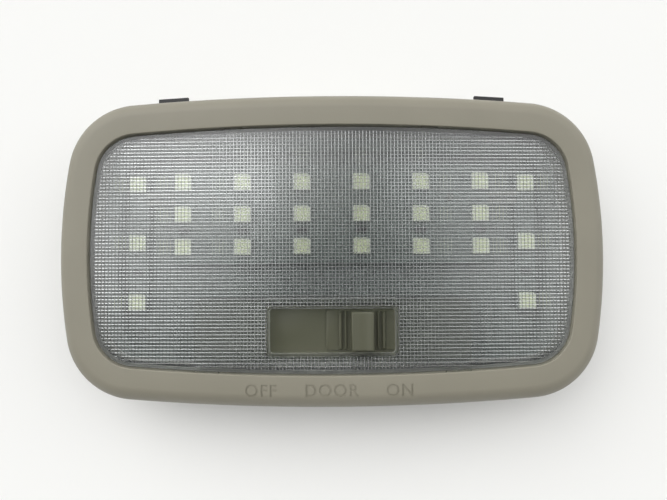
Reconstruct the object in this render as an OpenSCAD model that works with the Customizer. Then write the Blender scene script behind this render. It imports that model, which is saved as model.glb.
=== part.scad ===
// Car dome light: crowned bezel, prismatic snap-in lens, LED boards on a reflector tray,
// and a three-position slide switch that looks out of a window in the lens.
// +X is to the right and +Y up as seen from the seats, +Z is out of the lens.
// The lamp lies on its back: z = 0 is the rear edge of the body.

/* [Overall] */
// Width over the bezel
lamp_w = 165; // [158:0.5:172]
// Height over the bezel
lamp_h = 94.8; // [92:0.2:100]
// Depth of the body behind the headliner
body_depth = 20; // [19:0.25:24]
// Height of the bezel in front of the headliner
bezel_rise = 8.6; // [8:0.1:10]
// Radius of the crown across the width
crown_r = 1600; // [1300:50:4000]

/* [Bezel] */
// Radius of the bezel's left and right edges
side_r = 160; // [140:5:220]
// Radius of the bezel's long edges
long_r = 770; // [700:10:1200]
// Radius of the bezel's corners
corner_r = 22; // [19:0.5:26]
// Width of the band beside the lens
band_side = 10.2; // [9.6:0.1:10.4]
// Width of the band above and below the lens
band_long = 10.6; // [10:0.1:11]
// Corner radius of the lens opening
opening_r = 12.5; // [11:0.5:15]
// Wall thickness of the bezel's skin
skin = 2.2; // [1.8:0.1:2.4]
// Thickness of the wall round the lens
well_t = 2; // [1.6:0.1:2.2]
// Depth of that wall behind the headliner
well_drop = 2.8; // [2.4:0.1:3.2]
// Rounding of the lip at the lens
lip_r = 0.5; // [0.3:0.1:1]
// Draft of the bezel's outer edge
edge_draft = 0.5; // [0.2:0.1:1]
// Height at which the bezel's shoulder starts
shoulder_z = 2.2; // [1.5:0.1:3]
// Width of the rounded shoulder
shoulder_w = 5; // [3.5:0.1:5.5]

/* [Lens] */
// Gap between lens and bezel
lens_gap = 0.4; // [0.2:0.05:0.6]
// Depth of the lens below the lip
lens_recess = 0.7; // [0.5:0.1:1.2]
// Thickness of the lens pane over its prisms
lens_t = 1.6; // [1.2:0.1:2]
// Thickness of the lens skirt
lens_skirt_t = 1.6; // [1.2:0.1:1.8]
// Rounding of the lens edge
lens_edge_r = 0.5; // [0.3:0.1:0.8]
// Pitch of the prisms
prism_pitch = 1.04; // [0.9:0.01:2]
// Depth of the prisms
prism_h = 0.4; // [0.2:0.05:0.5]
// Plain border inside the skirt
prism_border = 0.3; // [0.2:0.1:2]
// Width of the upper snap tabs
tab_w = 4.7; // [4:0.1:7]
// Distance of the upper tabs from the middle
tab_x = 29.2; // [20:0.2:34]
// Width of the lower snap tabs
low_tab_w = 7.1; // [5:0.1:9]
// Distance of the lower tabs from the middle
low_tab_x = 36.9; // [28:0.1:39]
// Thickness of a snap tab
tab_t = 1.2; // [0.8:0.1:1.4]
// Reach of a snap tab into the bezel
tab_reach = 1; // [0.6:0.1:1.2]

/* [Switch] */
// Distance of the switch's middle from the lower edge of the lens opening
switch_in = 12.65; // [12.5:0.05:13.2]
// Width of the window
window_w = 37.6; // [36:0.2:39]
// Height of the window
window_h = 13.5; // [13:0.1:13.8]
// Corner radius of the window
window_r = 1.2; // [0.6:0.1:2]
// Thickness of the window's wall
window_t = 1.2; // [0.8:0.1:1.4]
// Step between two positions of the slider
detent_step = 8.9; // [8.5:0.1:9.1]
// Length of the slider's cover plate
plate_l = 57.8; // [57.4:0.2:59]
// Width of the slider's cover plate
plate_w = 15.2; // [14.8:0.1:15.4]
// Thickness of the slider's cover plate
plate_t = 1; // [0.8:0.1:1.2]
// Height of the plate above the switch deck
plate_lift = 3.8; // [3.5:0.1:4.1]
// Width of the knob's raised step
step_w = 21.7; // [18:0.1:23]
// Height of the knob's raised step
step_t = 0.7; // [0.4:0.1:0.9]
// Depth of the knob in the window
knob_h = 11.3; // [10:0.1:12]
// Width of the grip bar
grip_w = 6.6; // [6:0.1:8]
// How far the grip bar stands above the lens
grip_proud = 0.2; // [-0.5:0.1:1]
// Distance of the outer ribs from the grip's middle
rib_x = 6.5; // [6.2:0.1:8]
// Width of a rib
rib_w = 0.9; // [0.6:0.1:1.1]
// Height of the outer ribs
rib_h = 1.3; // [0.8:0.1:1.8]
// Running gap of the slider
slide_gap = 0.15; // [0.1:0.01:0.25]
// Wall of the switch frame
frame_t = 1.3; // [1.1:0.1:1.4]
// Thickness of the frame's end walls
frame_end_t = 3.4; // [3:0.1:4]

/* [Body] */
// Height of the guard rim behind the floor
guard_h = 8; // [7.5:0.1:9]
// Thickness of the floor
floor_t = 2; // [1.6:0.1:2.2]
// Thickness of the body's wall
tub_t = 1.8; // [1.5:0.1:2]
// Distance of the body's wall from the lens opening
tub_in = 2; // [1.6:0.1:2.4]
// Thickness of the flange and of the switch deck
flange_t = 1.8; // [1.5:0.1:2.2]
// Wall of the switch tower
tower_t = 1.3; // [1:0.1:1.5]
// Width of a snap hook
hook_w = 6; // [4:0.5:8]
// Thickness of a snap hook
hook_t = 1.3; // [1:0.1:1.5]
// Distance of the snap hooks from the ends of the lens opening
hook_in = 22.7; // [21:0.1:24.5]
// Thickness of a stiffening rib
stiff_t = 1.4; // [1:0.1:2]
// Height of a stiffening rib
stiff_h = 5; // [3:0.5:6]

/* [Connector] */
// Distance of the connector's mouth from the right end of the lens opening
socket_in = 12.3; // [11.6:0.1:13.6]
// Length of the connector shell
socket_l = 14; // [13:0.5:15]
// Inner width of the connector shell
socket_w = 16; // [15:0.5:17]
// Wall of the connector shell
socket_t = 1.2; // [1:0.1:1.5]
// Pitch of the blades
blade_pitch = 5; // [4.8:0.1:5.2]
// Width of a blade
blade_w = 2.3; // [2:0.1:2.8]
// Free length of a blade
blade_l = 7; // [5.5:0.5:7.5]
// Thickness of blades and bus bars
bar_t = 0.8; // [0.6:0.1:0.9]
// Width of a bus bar
bar_w = 4; // [3.6:0.1:4.2]
// Diameter of a heat stake
stake_d = 2; // [1.6:0.1:2.2]

/* [Light] */
// Gap between the floor and the reflector tray
tray_gap = 1.2; // [0.8:0.1:1.6]
// Thickness of the reflector tray
tray_t = 1.4; // [1.2:0.1:1.6]
// Height of the tray's bevelled rim
tray_rim_h = 2.5; // [2:0.1:3]
// Thickness of the foam pads
pad_t = 0.8; // [0.5:0.1:1]
// Thickness of the circuit boards
board_t = 1.6; // [1:0.1:1.6]
// Size of an LED package
led_size = 5; // [4:0.1:5.4]
// Height of an LED package
led_t = 1.6; // [1.2:0.1:1.8]
// Columns of LEDs on the main board
led_columns = 6; // [6:1:6]
// Rows of LEDs on each board
led_rows = 3; // [3:1:3]
// Distance of the main board's ends from the ends of the lens opening
board_in = 22.5; // [22:0.1:24.5]
// How many row pitches the tray's height holds
rows_held = 4.45; // [4.4:0.05:4.8]
// Gap between a side strip's LEDs and the tray's wall
strip_gap = 0.7; // [0.5:0.1:1.2]
// Distance of a side strip's upper end from the top of the lens opening
strip_top_in = 12.15; // [12:0.05:14]
// Height of a side strip's middle LED
strip_y = 2.6; // [2.3:0.1:2.8]
// Width of a side strip
strip_w = 6; // [5.6:0.1:6.2]

/* [Fixings] */
// Width of the upper tongues
tongue_w = 9.4; // [7:0.2:11]
// Distance of the upper tongues from the ends of the lens opening
tongue_in = 22.6; // [22:0.1:25]
// Reach of the upper tongues from the body
tongue_l = 16.2; // [14:0.1:18]
// Thickness of the upper tongues
tongue_t = 1.2; // [1:0.1:1.5]
// Width of the lower spring clips
spring_w = 10; // [8:0.5:12]
// Distance of the lower spring clips from the ends of the lens opening
spring_in = 42.3; // [34:0.1:46]
// Bulge of a spring clip
spring_out = 4.6; // [3:0.1:6]
// Sheet thickness of a spring clip
spring_t = 0.5; // [0.4:0.05:0.6]
// Diameter of the bracket screws
screw_d = 2.2; // [2:0.1:2.6]
// Length of the bracket screws
screw_l = 6; // [5:0.5:7]

/* [Hidden] */
$fn = 48;
eps = 0.01;
over = 1;

LED_COUNT = (led_columns + 2) * led_rows;
function led_name(i) = str("led_", i < 9 ? "0" : "", i + 1);

BEIGE = [0.62, 0.59, 0.51];
WHITE = [0.93, 0.93, 0.9];
GREY = [0.75, 0.76, 0.75];
CLEAR = [0.85, 0.9, 0.92, 0.45];
BRASS = [0.78, 0.64, 0.34];
BLACK = [0.08, 0.08, 0.08];
STEEL = [0.6, 0.6, 0.62];

// Steps of the outline in one quarter: side arc, corner arc, long arc
side_steps = 5;
corner_steps = 12;
long_steps = 7;
shoulder_steps = 8;
lip_steps = 4;

// Outlines are [half width, half height, side radius, long radius, corner radius]
outer = [lamp_w / 2, lamp_h / 2, side_r, long_r, corner_r];
opening = [lamp_w / 2 - band_side, lamp_h / 2 - band_long,
           side_r - band_side, long_r - band_long, opening_r];
ONES = [1, 1, 1, 1, 1];

// Levels
seat_z = body_depth;
deck_z = body_depth - well_drop;
lens_z = body_depth + bezel_rise - lens_recess;
pane_z = lens_z - lens_t;
floor_z = guard_h + floor_t;
tray_z = floor_z + tray_gap;
pad_z = tray_z + tray_t;
board_z = pad_z + pad_t;
led_z = board_z + board_t;
plate_z = deck_z + plate_lift;
plate_top = plate_z + plate_t;
step_top = plate_top + step_t;
window_foot = step_top + 0.3;

// Insets from the lens opening
body_out = tub_in;
body_in = tub_in + tub_t;
skirt_in = lens_gap + lens_skirt_t;
fit = 0.3;
tray_out = body_in + fit;
tray_in = tray_out + tray_t;
tray_lean = 0.7;

// Switch tower and frame
switch_y = switch_in - opening[1];
frame_in_l = plate_l / 2 + detent_step + 3 * slide_gap;
frame_l = frame_in_l + frame_end_t;
frame_in_w = plate_w / 2 + 2 * slide_gap;
frame_w = frame_in_w + frame_t;
frame_h = step_top - deck_z;
tower_margin = 0.4;
tower_l = frame_l + tower_margin;
tower_top_y = switch_y + frame_w;
ledge_w = 1.6;
ledge_t = 1.2;
keeper_l = 4;
keeper_w = 1;
peg_d = 2;
peg_play = 0.15;
rest_x = detent_step;

// Contacts
lane_y = 3;
pad_half_x = 3;
riser_y = tower_top_y - tower_t - 0.2;
lamp_riser_x = -2.2 * detent_step;
contact_w = 4;
contact_t = 0.5;
contact_gap = 0.1;
detent_x = 17;
notch_w = 1.2;
notch_t = 0.4;

// Boards: the rows share the tray's height between the switch and its upper wall
board_edge = 3;
board_half_w = opening[0] - board_in;
column_pitch = 2 * (board_half_w - board_edge) / (led_columns - 1);
tray_top_y = opening[1] - tray_in - tray_lean;
tray_low_y = tower_top_y + tower_margin;
row_pitch = tenth((tray_top_y - tray_low_y) / rows_held);
row_share = 0.34;
row_y = mix(tray_low_y, tray_top_y, 0.5) + row_share * row_pitch;
board_half_h = row_pitch + led_size / 2 + board_edge;
strip_end = 1.2;
strip_half_l = opening[1] - strip_top_in - strip_y;
strip_pitch = strip_half_l - led_size / 2 - strip_end;
strip_wall_x = side_edge_x(inset(opening, tray_in + tray_lean), strip_y + strip_half_l - strip_end);
strip_x = tenth(strip_wall_x - strip_gap - led_size / 2);
board_r = 1.5;
chip_w = 3.2;
chip_h = 1.6;
chip_t = 0.6;
link_w = tenth(0.235 * (row_pitch - led_size));
link_t = 0.5;
link_lap = (strip_w - led_size) / 2 - 0.1;

// Feed pins stand between the last two columns and the first two rows
feed_x = 2 * column_pitch;
feed_y = row_y + row_pitch / 2;
pin_d = 1;
pin_play = 0.3;
pin_proud = 0.8;
solder_d = 2.4;
solder_t = 0.5;

// Fixings
screw_z = 4.8;
screw_head_d = screw_d + 2;
screw_head_t = 1.3;
drive_w = 0.5;
drive_t = 0.6;
boss_d = 5.6;
boss_root = 0.3;
tongue_x = opening[0] - tongue_in;
spring_x = opening[0] - spring_in;
hook_x = opening[0] - hook_in;
stake_head_t = 0.7;
leaf_t = 0.35;
leaf_w = 3.6;
leaf_rise = 0.8;
leaf_nose = 1.4;
leaf_end = 2.4;
spring_stake_x = detent_x + 12;
hook_z = deck_z + 3;
hook_barb_h = 1.6;
hook_gap = 0.15;

// Blades and bus bars: three rows at the connector, then turns towards the switch
blade_z = mix(1.5 * socket_t, guard_h, 0.5) - bar_t / 2;
socket_x = opening[0] - socket_in;
socket_y = feed_y - blade_pitch;
supply_y = socket_y + blade_pitch;
door_y = socket_y;
ground_y = socket_y - blade_pitch;
back_wall_x = socket_x - socket_l;
bend_x = back_wall_x - 0.6;
ground_x = bend_x - 3 * bar_w;
door_x = ground_x - bar_w - 2;
ground_turn_y = tower_top_y + 0.8 + bar_w / 2;
door_turn_y = ground_turn_y + bar_w + 1;
supply_stakes = [[mix(feed_x, bend_x, 0.5), supply_y]];
door_stakes = [[door_x, mix(door_turn_y, door_y, 0.5)], [mix(door_x, 0, 0.5), door_turn_y]];
ground_stakes = [[ground_x, mix(ground_turn_y, ground_y, 0.5)],
                 [mix(ground_x, rest_x, 0.5), ground_turn_y]];
lamp_stakes = [[lamp_riser_x, mix(riser_y, feed_y, 0.5)],
               [mix(lamp_riser_x, -feed_x, 0.5), feed_y]];

function unit(a) = [cos(a), sin(a)];
function mix(p, q, t) = p + (q - p) * t;
function tenth(v) = round(10 * v) / 10;
function inset(o, d) = o - d * ONES;
function crown(x) = x * x / (2 * crown_r);
function arc(c, r, a, b, n) = [for (i = [0 : n - 1]) c + r * unit(mix(a, b, i / n))];

// One quarter of an outline: three tangent arcs, from the right end round to the top
function quarter(o) =
    let (side_c = [o[0] - o[2], 0],
         long_c = [0, o[1] - o[3]],
         gap = long_c - side_c,
         d = norm(gap),
         u = gap / d,
         r1 = o[2] - o[4],
         r2 = o[3] - o[4],
         m = (d * d + r1 * r1 - r2 * r2) / (2 * d),
         h = sqrt(r1 * r1 - m * m),
         c = side_c + m * u + h * [-u[1], u[0]],
         a1 = atan2(c[1], c[0] - side_c[0]),
         a2 = atan2(c[1] - long_c[1], c[0]))
    concat(arc(side_c, o[2], 0, a1, side_steps),
           arc(c, o[4], a1, a2, corner_steps),
           arc(long_c, o[3], a2, 90, long_steps),
           [[0, o[1]]]);

function outline(o) =
    let (q = quarter(o), n = len(q) - 1)
    concat([for (i = [0 : n - 1]) q[i]],
           [for (i = [n : -1 : 1]) [-q[i][0], q[i][1]]],
           [for (i = [0 : n - 1]) -q[i]],
           [for (i = [n : -1 : 1]) [q[i][0], -q[i][1]]]);

// Rings of points: flat at a height, or following the crown at a share of the bezel's rise
function flat_ring(o, z) = [for (p = outline(o)) [p[0], p[1], z]];
function crown_ring(o, share, drop) =
    [for (p = outline(o)) [p[0], p[1], seat_z + share * (bezel_rise - crown(p[0])) - drop]];
function lens_ring(o, drop) = [for (p = outline(o)) [p[0], p[1], lens_z - crown(p[0]) - drop]];

// Places on the long edges: the edge's height and its slope at a distance from the middle
function long_edge_y(o, x) = o[1] - o[3] + sqrt(o[3] * o[3] - x * x);
function long_edge_turn(o, x) = -asin(x / o[3]);

// How far out a side edge lies at a height above the middle
function side_edge_x(o, y) = o[0] - o[2] + sqrt(o[2] * o[2] - y * y);

module slab(o, z0, z1) {
    translate([0, 0, z0]) linear_extrude(z1 - z0) polygon(outline(o));
}

module block(lo, hi) {
    translate(lo) cube(hi - lo);
}

module rounded(w, h, r) {
    square([w - 2 * r, h], center = true);
    square([w, h - 2 * r], center = true);
    for (x = [-1, 1], y = [-1, 1])
        translate([x * (w / 2 - r), y * (h / 2 - r)]) circle(r);
}

// An XZ profile drawn in the plane and pushed along Y, centred on y = 0
module along_y(length) {
    translate([0, length / 2, 0]) rotate([90, 0, 0]) linear_extrude(length) children();
}

// A YZ profile drawn as (y, z) and pushed along X, centred on x = 0
module along_x(length) {
    translate([-length / 2, 0, 0]) rotate([90, 0, 90]) linear_extrude(length) children();
}

// Puts a feature on a long edge: local +Y is outwards, sign picks the upper or lower edge
module on_long_edge(o, x, sign) {
    rotate([0, 0, sign > 0 ? 0 : 180])
        translate([sign * x, long_edge_y(o, x), 0])
            rotate([0, 0, long_edge_turn(o, sign * x)]) children();
}

// Puts a feature on the right or left edge: local +Y is outwards
module on_side_edge(o, sign) {
    rotate([0, 0, -90 * sign]) translate([0, o[0], 0]) children();
}

function quad(a, b, c, d) = [[a, b, c], [a, c, d]];

// A ring-shaped solid whose section is the loop of rings
module ring_loft(rings) {
    n = len(rings[0]);
    m = len(rings);
    polyhedron(
        points = [for (r = rings) each r],
        faces = [for (j = [0 : m - 1], i = [0 : n - 1])
                    let (k = (j + 1) % m, l = (i + 1) % n)
                    each quad(j * n + i, k * n + i, k * n + l, j * n + l)]);
}

// A solid stacked from rings. Its ends are crossed by strips that run along Y
module stack_loft(rings) {
    n = len(rings[0]);
    m = len(rings);
    last = (m - 1) * n;
    polyhedron(
        points = [for (r = rings) each r],
        faces = concat(
            [for (j = [0 : m - 2], i = [0 : n - 1])
                let (l = (i + 1) % n)
                each quad(j * n + i, (j + 1) * n + i, (j + 1) * n + l, j * n + l)],
            [for (i = [0 : n / 2 - 1]) each end_strip(0, i, n, false)],
            [for (i = [0 : n / 2 - 1]) each end_strip(last, i, n, true)]));
}

function turned(f, flip) = flip ? [f[2], f[1], f[0]] : f;
function end_strip(at, i, n, flip) =
    let (a = at + i, b = at + i + 1, c = at + (n - i - 1) % n, d = at + (n - i) % n)
    a == d ? [turned([a, b, c], flip)]
    : b == c ? [turned([a, b, d], flip)]
    : [turned([a, b, c], flip), turned([a, c, d], flip)];

// Bezel: a hollow crowned ring with a rounded shoulder and lip
function shoulder_ring(a, from, to, reach, drop) =
    let (t = reach * (1 - cos(a)), start = shoulder_z / bezel_rise)
    crown_ring(mix(from, to, t), mix(start, 1, sin(a)), drop * sin(a));

module bezel_shell() {
    lip = inset(opening, -lip_r);
    edge = inset(outer, edge_draft);
    well = inset(opening, -well_t);
    inner = inset(outer, skin);
    reach = shoulder_w / band_side;
    inner_reach = (shoulder_w - skin) / (band_side - skin - well_t);
    ring_loft(concat(
        [flat_ring(outer, seat_z)],
        [for (i = [0 : shoulder_steps])
            shoulder_ring(90 * i / shoulder_steps, edge, opening, reach, 0)],
        [for (i = [0 : lip_steps])
            let (a = 90 * i / lip_steps)
            crown_ring(inset(lip, lip_r * sin(a)), 1, lip_r * (1 - cos(a)))],
        [flat_ring(opening, deck_z), flat_ring(well, deck_z)],
        [crown_ring(well, 1, skin)],
        [for (i = [shoulder_steps : -1 : 0])
            shoulder_ring(90 * i / shoulder_steps, inner, well, inner_reach, skin)],
        [flat_ring(inner, seat_z)]));
}

function tab_z(x) = lens_z - crown(x) - lens_edge_r - tab_t;

module tab_slot(w, x) {
    side = w / 2 + 0.4;
    block([-side, -over, tab_z(x) - fit], [side, well_t + over, tab_z(x) + tab_t + fit]);
}

// Base hooks hold the bezel down by the lower edge of these slots
module hook_slot() {
    side = hook_w / 2 + fit;
    block([-side, 0.6, hook_z - 0.1], [side, well_t + over, hook_z + hook_barb_h + fit]);
}

module hook() {
    back = well_t + hook_gap;
    root = well_t - 0.6;
    low = deck_z - flange_t + 0.2;
    top = hook_z + hook_barb_h + 0.4;
    along_x(hook_w) polygon([
        [root, low], [back + hook_t, low], [back + hook_t, top], [back, top],
        [0.9, hook_z + 0.3], [0.9, hook_z], [back, hook_z],
        [back, deck_z - 0.2], [root, deck_z - 0.2]]);
}

module at_hooks() {
    for (x = [-hook_x, hook_x], sign = [-1, 1]) on_long_edge(opening, x, sign) children();
    for (sign = [-1, 1]) on_side_edge(opening, sign) children();
}

module bezel() {
    color(BEIGE) difference() {
        bezel_shell();
        at_hooks() hook_slot();
        for (x = [-tab_x, tab_x]) on_long_edge(opening, x, 1) tab_slot(tab_w, x);
        for (x = [-low_tab_x, low_tab_x]) on_long_edge(opening, x, -1) tab_slot(low_tab_w, x);
    }
}

// Lens: a crowned pane with a skirt, a walled window and prisms on its inner face
module lens_block() {
    o = inset(opening, lens_gap);
    stack_loft(concat(
        [flat_ring(o, deck_z)],
        [for (i = [0 : lip_steps])
            let (a = 90 * i / lip_steps)
            lens_ring(inset(o, lens_edge_r * (1 - cos(a))), lens_edge_r * (1 - sin(a)))]));
}

module lens_cavity() {
    o = inset(opening, skirt_in);
    rim_x = o[0] + over;
    prisms = floor((o[0] - prism_border) / prism_pitch);
    roots = [for (i = [-prisms : prisms]) i * prism_pitch];
    intersection() {
        slab(o, deck_z - over, lens_z);
        along_y(lamp_h) polygon(concat(
            [[-rim_x, deck_z - over], [-rim_x, pane_z - crown(rim_x)]],
            [for (x = roots) each
                [[x, pane_z - crown(x)],
                 [x + prism_pitch / 2, pane_z - crown(x + prism_pitch / 2) - prism_h]]],
            [[rim_x, pane_z - crown(rim_x)], [rim_x, deck_z - over]]));
    }
}

module lens_tab(w, x) {
    foot = tab_z(x);
    reach = lens_gap + tab_reach;
    along_x(w) polygon([
        [-lens_skirt_t / 2, foot - 0.1], [0, foot - 0.1], [reach, foot + 0.2],
        [reach, foot + tab_t], [-lens_skirt_t / 2, foot + tab_t]]);
}

module lens() {
    edge = inset(opening, lens_gap);
    color(CLEAR) difference() {
        union() {
            difference() {
                lens_block();
                lens_cavity();
            }
            translate([0, switch_y, window_foot]) linear_extrude(pane_z + eps - window_foot)
                rounded(window_w + 2 * window_t, window_h + 2 * window_t, window_r + window_t);
            for (x = [-tab_x, tab_x]) on_long_edge(edge, x, 1) lens_tab(tab_w, x);
            for (x = [-low_tab_x, low_tab_x])
                on_long_edge(edge, x, -1) lens_tab(low_tab_w, x);
        }
        translate([0, switch_y, window_foot - over])
            linear_extrude(lens_z - window_foot + 2 * over)
                rounded(window_w, window_h, window_r);
    }
}

// Base: an H-section tub with a flange, a hollow switch tower and the connector shell
module stake(x, y, z, t, up) {
    head = up ? z + t : z - t - stake_head_t;
    translate([x, y, min(z, z + (up ? t : -t)) - eps]) cylinder(d = stake_d, h = t + 2 * eps);
    translate([x, y, head]) cylinder(d = stake_d + 1.4, h = stake_head_t);
}

module stake_hole(x, y, z) {
    translate([x, y, z - over]) cylinder(d = stake_d + 0.2, h = bar_t + 2 * over);
}

module socket_shell() {
    half = socket_w / 2 + socket_t;
    difference() {
        block([back_wall_x, socket_y - half, socket_t / 2], [socket_x, socket_y + half, guard_h + eps]);
        block([back_wall_x + socket_t, socket_y - socket_w / 2, 1.5 * socket_t],
              [socket_x + over, socket_y + socket_w / 2, guard_h]);
        for (y = [supply_y, door_y, ground_y])
            block([back_wall_x - over, y - blade_w / 2 - 0.1, blade_z - 0.1],
                  [back_wall_x + socket_t + over, y + blade_w / 2 + 0.1, blade_z + bar_t + 0.1]);
    }
}

module screw_boss() {
    translate([0, -boss_root, screw_z]) rotate([90, 0, 0])
        cylinder(d = boss_d, h = screw_l - boss_root);
}

module screw_pilot() {
    translate([0, over, screw_z]) rotate([90, 0, 0])
        cylinder(d = screw_d + 0.1, h = screw_l + over - 0.6);
}

module at_screws() {
    body = inset(opening, body_out);
    for (x = [-tongue_x, tongue_x]) on_long_edge(body, x, 1) children();
    for (x = [-spring_x, spring_x]) on_long_edge(body, x, -1) children();
}

module stiffeners() {
    o = inset(opening, body_in - eps);
    top = guard_h + eps;
    rib_y = mix(supply_y + bar_w / 2, o[1], 0.5);
    intersection() {
        slab(o, 0, top);
        union() {
            block([-lamp_w / 2, rib_y - stiff_t / 2, guard_h - stiff_h],
                  [lamp_w / 2, rib_y + stiff_t / 2, top]);
            for (share = [0.11, 0.55]) {
                x = -mix(tower_l, o[0], share);
                block([x - stiff_t / 2, -lamp_h / 2, guard_h - stiff_h],
                      [x + stiff_t / 2, rib_y, top]);
            }
            block([-lamp_w / 2, -stiff_t / 2, guard_h - stiff_h],
                  [lamp_riser_x - bar_w, stiff_t / 2, top]);
        }
    }
}

module tower() {
    intersection() {
        slab(inset(opening, body_in - eps), 0, deck_z);
        block([-tower_l, -lamp_h / 2, guard_h], [tower_l, tower_top_y, deck_z]);
    }
}

module tower_cavity() {
    wall_y = -long_edge_y(inset(opening, body_in), tower_l) + tower_t;
    block([-tower_l + tower_t, wall_y, -over],
          [tower_l - tower_t, tower_top_y - tower_t, deck_z - flange_t]);
}

module riser_slot(x) {
    block([x - bar_w / 2 - 0.15, riser_y - bar_t - 0.15, deck_z - flange_t - over],
          [x + bar_w / 2 + 0.15, riser_y + 0.15, deck_z + over]);
}

module tub() {
    wall_in = inset(opening, body_in);
    difference() {
        union() {
            slab(inset(opening, body_out), 0, deck_z);
            slab(inset(opening, -well_t), deck_z - flange_t, deck_z);
            at_hooks() hook();
        }
        slab(wall_in, floor_z, deck_z + over);
        slab(wall_in, -over, guard_h);
    }
}

module deck_holes() {
    for (x = [lamp_riser_x, 0, rest_x]) riser_slot(x);
    for (x = [-1, 1])
        translate([x * (frame_l - frame_end_t / 2), switch_y, deck_z - flange_t - over])
            cylinder(d = peg_d + 2 * peg_play, h = flange_t + 2 * over);
}

module feed_holes(z, h) {
    for (x = [-feed_x, feed_x])
        translate([x, feed_y, z - over]) cylinder(d = pin_d + 2 * pin_play, h = h + 2 * over);
}

// The guard rim is open in front of the connector's mouth
module plug_way() {
    half = socket_w / 2 + socket_t + 1;
    block([socket_x + 0.1, socket_y - half, -over], [lamp_w / 2, socket_y + half, guard_h]);
}

module base() {
    color(WHITE) {
        difference() {
            union() {
                difference() {
                    union() {
                        tub();
                        tower();
                        stiffeners();
                    }
                    tower_cavity();
                }
                at_screws() screw_boss();
                socket_shell();
                for (p = concat(supply_stakes, door_stakes, ground_stakes, lamp_stakes))
                    stake(p[0], p[1], guard_h, bar_t, false);
            }
            deck_holes();
            feed_holes(guard_h, floor_t);
            at_screws() screw_pilot();
            plug_way();
        }
        stake(spring_stake_x, switch_y, deck_z, contact_t, true);
    }
}

// Reflector tray: bevelled rim, steep walls, flat floor, cut away round the switch
module reflector_tray() {
    rim = lens_gap + lens_skirt_t + fit;
    top = deck_z + tray_rim_h;
    color(GREY) difference() {
        stack_loft([
            flat_ring(inset(opening, tray_out + tray_lean), tray_z),
            flat_ring(inset(opening, tray_out), deck_z),
            flat_ring(inset(opening, rim), deck_z),
            flat_ring(inset(opening, rim), top)]);
        stack_loft([
            flat_ring(inset(opening, tray_in + tray_lean), pad_z),
            flat_ring(inset(opening, tray_in), deck_z - 0.4),
            flat_ring(inset(opening, rim + 0.4), top),
            flat_ring(inset(opening, rim + 0.4), top + over)]);
        block([-tower_l - tower_margin, -lamp_h / 2, tray_z - over],
              [tower_l + tower_margin, tray_low_y, top + over]);
        feed_holes(tray_z, tray_t);
    }
}

module main_board() {
    color(WHITE) difference() {
        translate([0, row_y, board_z]) linear_extrude(board_t)
            rounded(2 * board_half_w, 2 * board_half_h, board_r);
        for (x = [-feed_x, feed_x])
            translate([x, feed_y, board_z - over])
                cylinder(d = pin_d + pin_play, h = board_t + 2 * over);
    }
}

module strip(sign) {
    color(WHITE) translate([sign * strip_x, strip_y, board_z]) linear_extrude(board_t)
        rounded(strip_w, 2 * strip_half_l, 2);
}

// Where each LED sits: six columns on the main board, then one column on each strip
function led_place(i) =
    let (column = floor(i / led_rows), row = i % led_rows - (led_rows - 1) / 2)
    column < led_columns
    ? [(column - (led_columns - 1) / 2) * column_pitch, row_y - row * row_pitch]
    : [(column == led_columns ? -1 : 1) * strip_x, strip_y - row * strip_pitch];

module led(i) {
    well_d = led_size - 1;
    p = led_place(i);
    color([0.95, 0.93, 0.75]) translate([p[0], p[1], led_z]) difference() {
        translate([-led_size / 2, -led_size / 2, 0]) cube([led_size, led_size, led_t]);
        translate([0, 0, led_t - 0.3]) cylinder(d = well_d, h = over);
        translate([led_size / 2, led_size / 2, led_t / 2])
            rotate([0, 0, 45]) translate([-0.4, -1, 0]) cube([2, 2, led_t]);
    }
}

module foam_pads() {
    pad_x = column_pitch;
    pad_half_w = 0.64 * column_pitch;
    pad_in = 1.5;
    color(WHITE) {
        for (x = [-pad_x, pad_x])
            block([x - pad_half_w, row_y - board_half_h + pad_in, pad_z],
                  [x + pad_half_w, row_y + board_half_h - pad_in, board_z]);
        for (x = [-strip_x, strip_x])
            block([x - strip_w / 2 + pad_in, strip_y - strip_half_l + pad_in, pad_z],
                  [x + strip_w / 2 - pad_in, strip_y + strip_half_l - pad_in, board_z]);
    }
}

// Chip resistors: one under each column's middle LED and one on each strip
module board_resistors() {
    spots = concat(
        [for (c = [0 : led_columns - 1])
            [(c - (led_columns - 1) / 2) * column_pitch, row_y - row_pitch / 2]],
        [for (sign = [-1, 1]) [sign * strip_x, strip_y - strip_pitch / 2]]);
    color(BLACK) for (p = spots)
        block([p[0] - chip_w / 2, p[1] - chip_h / 2, led_z],
              [p[0] + chip_w / 2, p[1] + chip_h / 2, led_z + chip_t]);
}

// Flat links carry the feed from the main board to the strips
module link_strips() {
    from_x = board_half_w - link_lap;
    to_x = strip_x - strip_w / 2 + link_lap;
    color(STEEL) for (side = [-1, 1], y = [feed_y - link_w, feed_y + link_w]) {
        x = side > 0 ? from_x : -to_x;
        translate([x, y - link_w / 2, led_z]) cube([to_x - from_x, link_w, link_t]);
    }
}

module feed_pins() {
    color(STEEL) for (x = [-feed_x, feed_x]) translate([x, feed_y, 0]) {
        translate([0, 0, guard_h]) cylinder(d = pin_d, h = led_z + pin_proud - guard_h);
        translate([0, 0, led_z]) cylinder(d1 = solder_d, d2 = pin_d + 0.4, h = solder_t);
    }
}

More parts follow.
